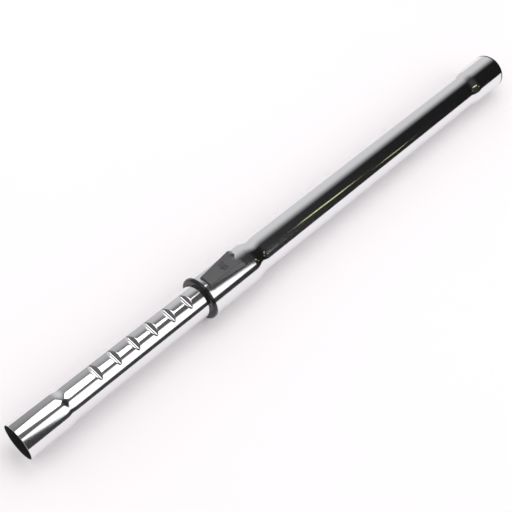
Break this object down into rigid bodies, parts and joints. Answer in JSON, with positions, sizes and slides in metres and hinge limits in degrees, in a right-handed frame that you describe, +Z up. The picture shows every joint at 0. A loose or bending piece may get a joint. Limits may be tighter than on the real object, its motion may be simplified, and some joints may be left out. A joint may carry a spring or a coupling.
{
  "type": "telescopic vacuum cleaner tube",
  "caption": "Chromed telescopic vacuum tube with a sliding release button, a black collar ring, pressed locking grooves and swaged ends.",
  "frame": {"origin": "on the floor below the middle of the tube's length, with the tube lying on the floor", "axes": "+X along the tube from the tool end to the hose end, +Z up through the release button"},
  "size_m": [0.6534, 0.0416, 0.0472],
  "materials": {
    "chrome": "polished",
    "black_plastic": "satin",
    "grey_plastic": "satin",
    "steel": "plain",
    "rubber": "matte"
  },
  "bodies": {
    "outer": {"outer_tube": "chrome", "guide_sleeve": "black_plastic", "wiper_seal": "rubber", "socket_liner": "black_plastic", "return_spring": "steel"},
    "inner": {"inner_tube": "chrome", "stop_bush": "black_plastic"},
    "button": {"release_button": "grey_plastic"},
    "lock": {"lock_bar": "steel"}
  },
  "joints": [
    {"name": "telescope", "type": "slide", "parent": "outer", "child": "inner", "axis": [-1, 0, 0], "range_m": [-0.14, 0.1]},
    {"name": "release", "type": "slide", "parent": "outer", "child": "button", "axis": [-1, 0, 0], "range_m": [0, 0.003], "stiffness_N_per_m": 800, "deforming": ["return_spring"]},
    {"name": "lock_lift", "type": "slide", "parent": "outer", "child": "lock", "axis": [0, 0, 1], "range_m": [0, 0.0024]}
  ],
  "couplings": [
    {"joint": "lock_lift", "follows": "release", "ratio": 0.76667}
  ]
}
